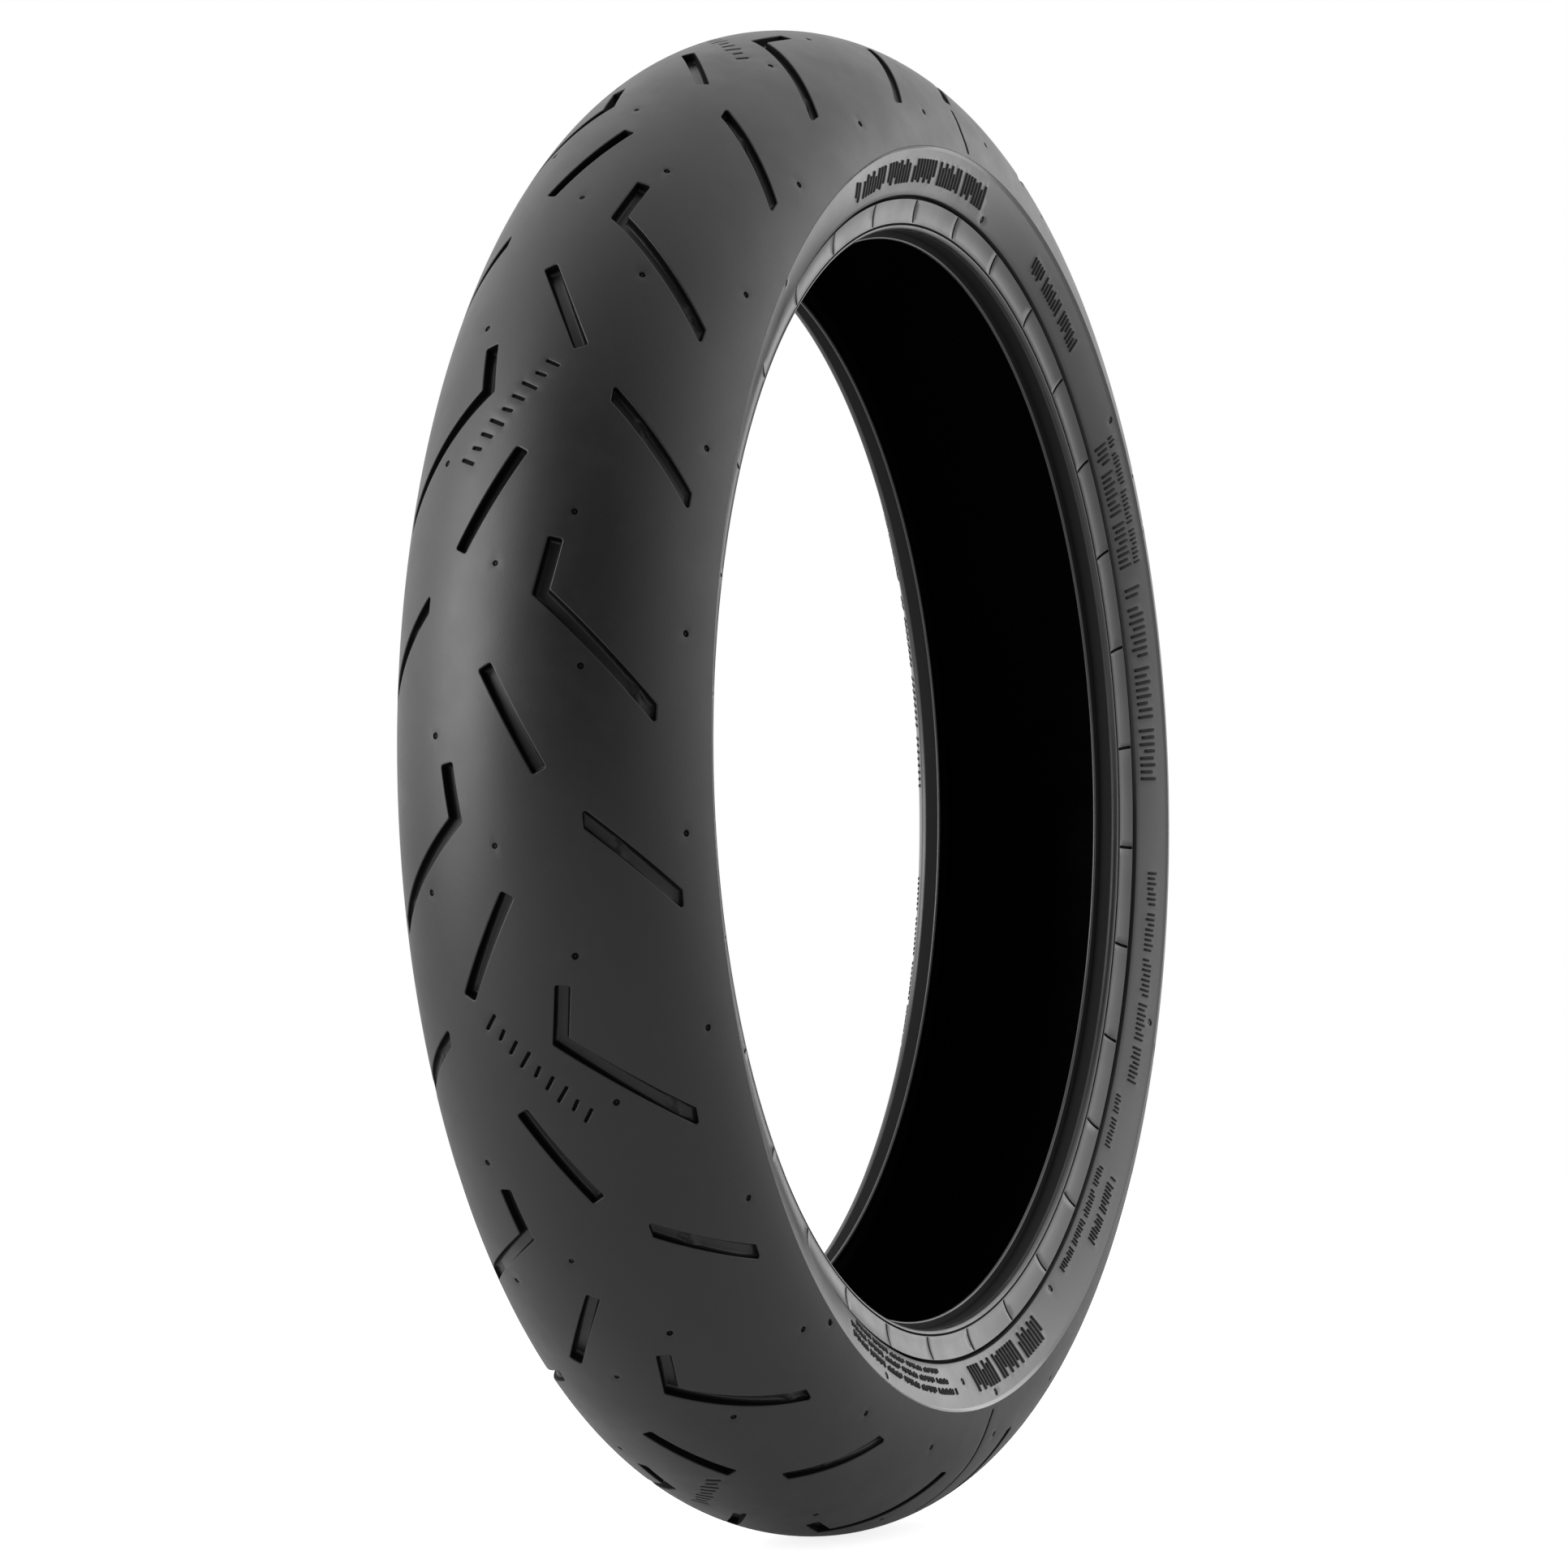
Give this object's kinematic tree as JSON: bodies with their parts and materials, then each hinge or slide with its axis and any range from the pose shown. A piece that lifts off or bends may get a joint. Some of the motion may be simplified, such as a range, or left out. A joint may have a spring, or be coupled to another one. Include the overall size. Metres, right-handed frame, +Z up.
{
  "type": "motorcycle tyre",
  "caption": "Front motorcycle tyre with a round grooved tread over a steel-belted radial carcass and two wire beads that seat on a wheel rim.",
  "frame": {"origin": "centre of the tyre, on the axle line and in the centre plane", "axes": "+Y along the axle to the left side, +X forward, +Z up, tyre upright"},
  "size_m": [0.6, 0.12, 0.6],
  "materials": {
    "tread_rubber": "matte, slightly sheened black rubber",
    "sidewall_rubber": "smooth moulded black rubber, satin",
    "rim_rubber": "smooth moulded black rubber, satin",
    "liner_rubber": "dull black rubber",
    "inner_rubber": "dull dark rubber",
    "ply_fabric": "rubber-coated textile cord",
    "bead_fabric": "rubber-coated woven fabric",
    "steel_cord": "brass-coated steel wire"
  },
  "bodies": {
    "root": {"tread_cap": "tread_rubber", "tread_base": "inner_rubber", "belt_skim_outer": "inner_rubber", "belt_cord_windings": "steel_cord", "belt_skim_inner": "inner_rubber", "belt_edge_cushion_left": "inner_rubber", "belt_edge_cushion_right": "inner_rubber", "carcass_ply_outer": "ply_fabric", "carcass_ply_inner": "ply_fabric", "liner_tie_gum": "inner_rubber", "inner_liner": "liner_rubber", "bead_wires_left": "steel_cord", "bead_wires_right": "steel_cord", "bead_wrap_left": "bead_fabric", "bead_wrap_right": "bead_fabric", "bead_filler_left": "inner_rubber", "bead_filler_right": "inner_rubber", "bead_chafer_left": "bead_fabric", "bead_chafer_right": "bead_fabric", "rim_cushion_left": "rim_rubber", "rim_cushion_right": "rim_rubber", "sidewall_left": "sidewall_rubber", "sidewall_right": "sidewall_rubber"}
  },
  "joints": []
}
